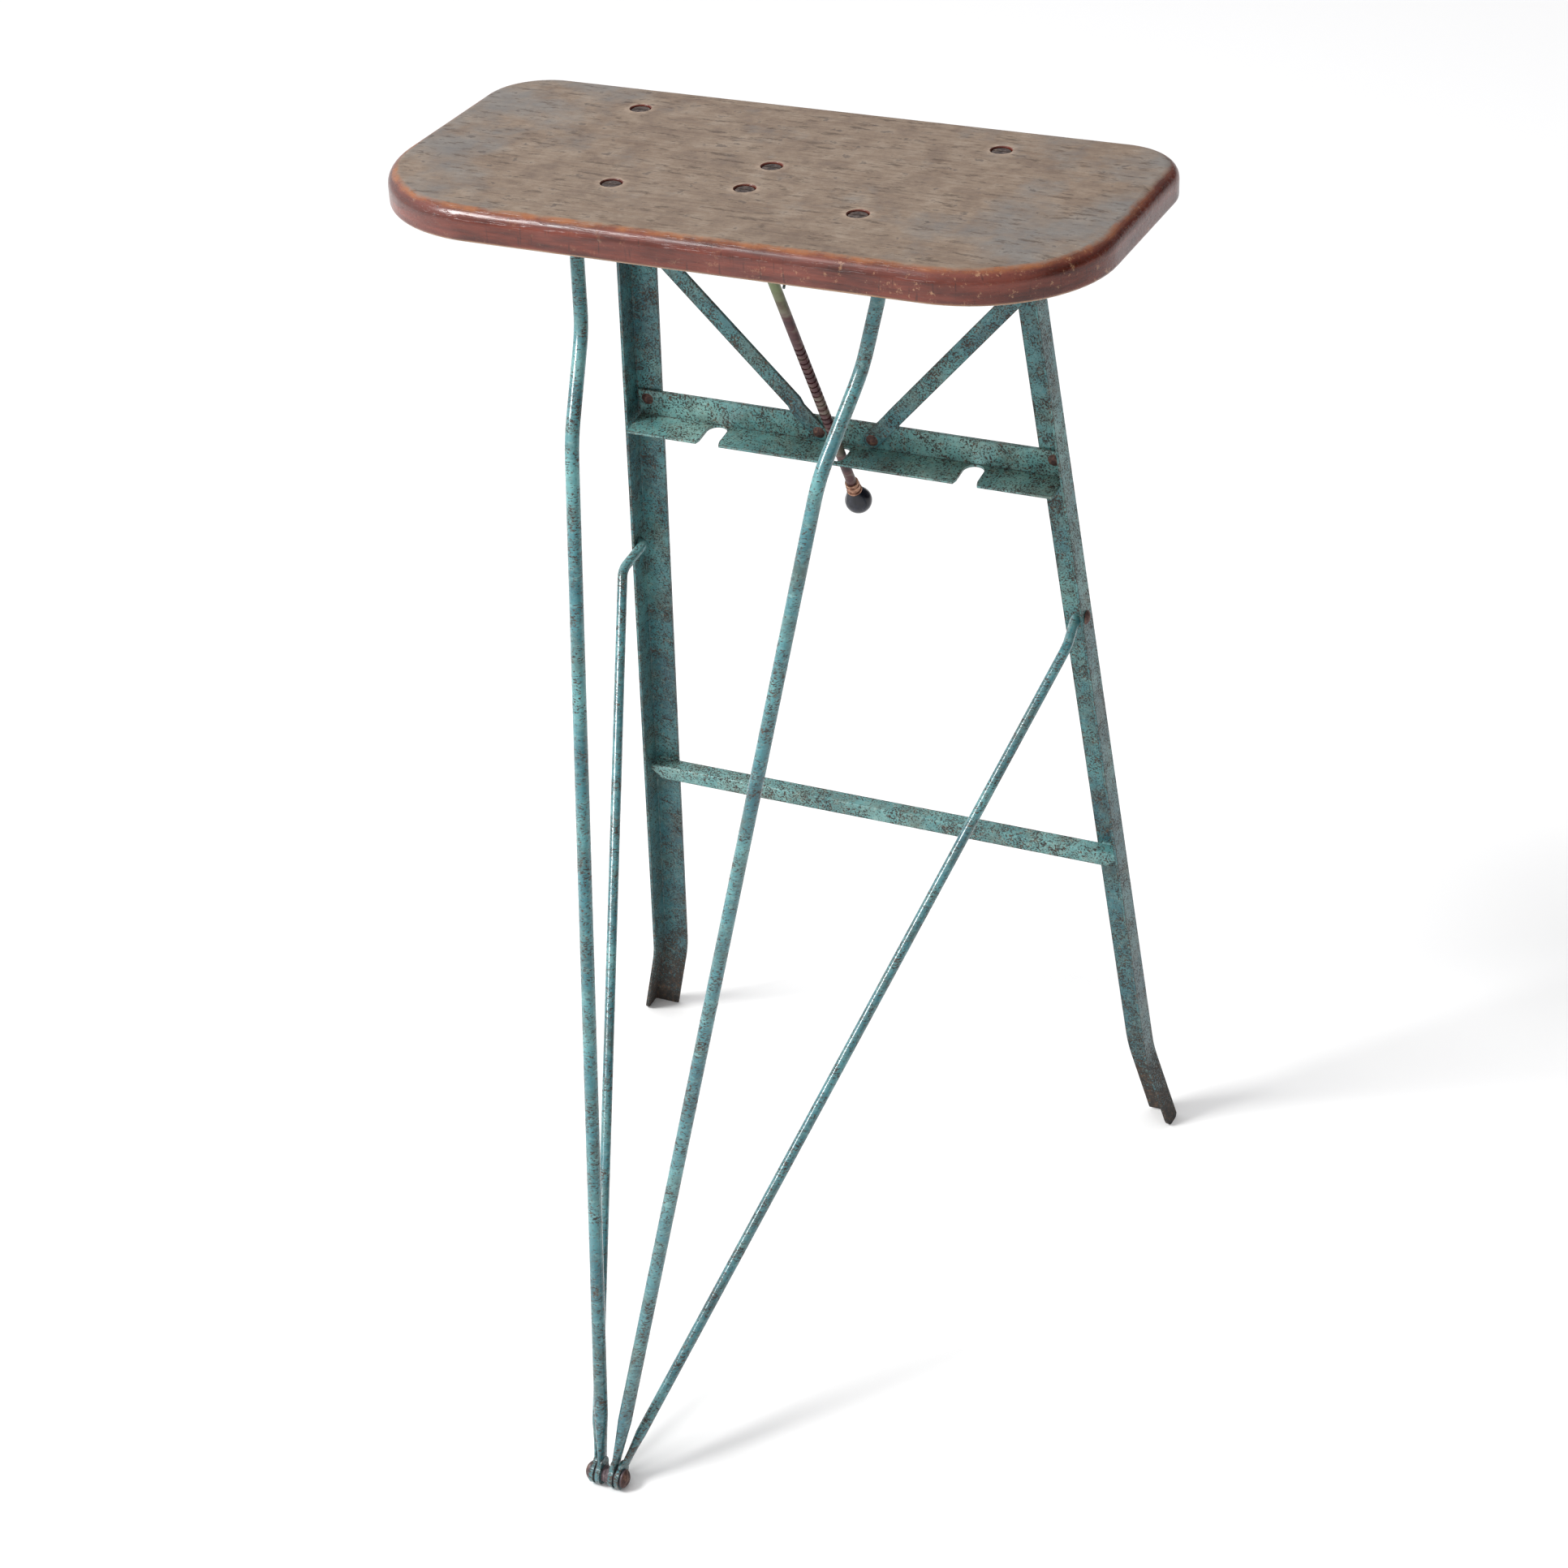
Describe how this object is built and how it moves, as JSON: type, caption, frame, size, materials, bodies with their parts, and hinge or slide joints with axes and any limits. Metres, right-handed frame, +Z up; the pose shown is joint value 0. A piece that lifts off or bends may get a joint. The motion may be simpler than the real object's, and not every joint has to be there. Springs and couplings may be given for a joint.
{
  "type": "folding ironing stand",
  "caption": "Folding ironing stand: rounded wooden board on a steel tripod with two angle-steel rear legs, round-bar front leg, struts and a pull-knob latch.",
  "frame": {"origin": "centre of the footprint of the whole object, on the floor that it stands on, in its standing pose", "axes": "+Z up, +X along the board, +Y from the front foot towards the two rear legs"},
  "size_m": [0.471, 0.5221, 0.78],
  "materials": {
    "varnished_wood": "worn varnish, open grain on top",
    "green_paint": "chipped gloss paint over steel",
    "dark_screw_steel": "darkened steel",
    "rusted_steel": "rusted steel",
    "rusted_rod": "rusted round bar with paint left near the top",
    "spring_wire": "dull drawn wire",
    "brass": "tarnished turned brass",
    "black_knob": "moulded black resin"
  },
  "bodies": {
    "rear_frame": {"left_leg": "green_paint", "right_leg": "green_paint", "upper_crossbar": "green_paint", "lower_crossbar": "green_paint", "left_brace": "green_paint", "right_brace": "green_paint", "crossbar_rivets": "rusted_steel", "brace_rivets": "rusted_steel", "lower_bar_welds": "rusted_steel", "strut_rivets": "rusted_steel"},
    "board": {"board_top": "varnished_wood", "board_screws": "dark_screw_steel", "board_nuts": "dark_screw_steel", "left_hinge_bracket": "green_paint", "right_hinge_bracket": "green_paint", "hinge_pins": "rusted_steel", "left_rod_clip": "green_paint", "right_rod_clip": "green_paint", "latch_bracket": "green_paint", "latch_pivot_heads": "rusted_steel"},
    "front_leg": {"left_front_rod": "green_paint", "right_front_rod": "green_paint", "foot_axle": "rusted_steel", "foot_washers": "rusted_steel", "foot_spacers": "rusted_steel"},
    "struts": {"left_strut": "green_paint", "right_strut": "green_paint"},
    "latch": {"latch_rod": "rusted_rod", "latch_pin": "rusted_steel", "latch_spring": "spring_wire", "latch_ferrule": "brass", "ball_knob": "black_knob"}
  },
  "joints": [
    {"name": "board_fold", "type": "hinge", "parent": "rear_frame", "child": "board", "pos_m": [0, 0.1505, 0.747], "axis": [1, 0, 0], "range_deg": [0, 96]},
    {"name": "front_leg_swing", "type": "hinge", "parent": "board", "child": "front_leg", "pos_m": [0, 0.013, 0.75], "axis": [1, 0, 0], "range_deg": [-67.68, 0]},
    {"name": "strut_swing", "type": "hinge", "parent": "front_leg", "child": "struts", "pos_m": [0, -0.2535, 0.0075], "axis": [1, 0, 0], "range_deg": [0, 25.94]},
    {"name": "latch_swing", "type": "hinge", "parent": "rear_frame", "child": "latch", "pos_m": [0, -0.03067, 0.4828], "axis": [1, 0, 0], "range_deg": [-29.79, 0]}
  ],
  "couplings": [
    {"joint": "front_leg_swing", "follows": "board_fold", "ratio": -0.69979},
    {"joint": "strut_swing", "follows": "board_fold", "ratio": 0.26496},
    {"joint": "latch_swing", "follows": "board_fold", "ratio": -0.30511}
  ]
}
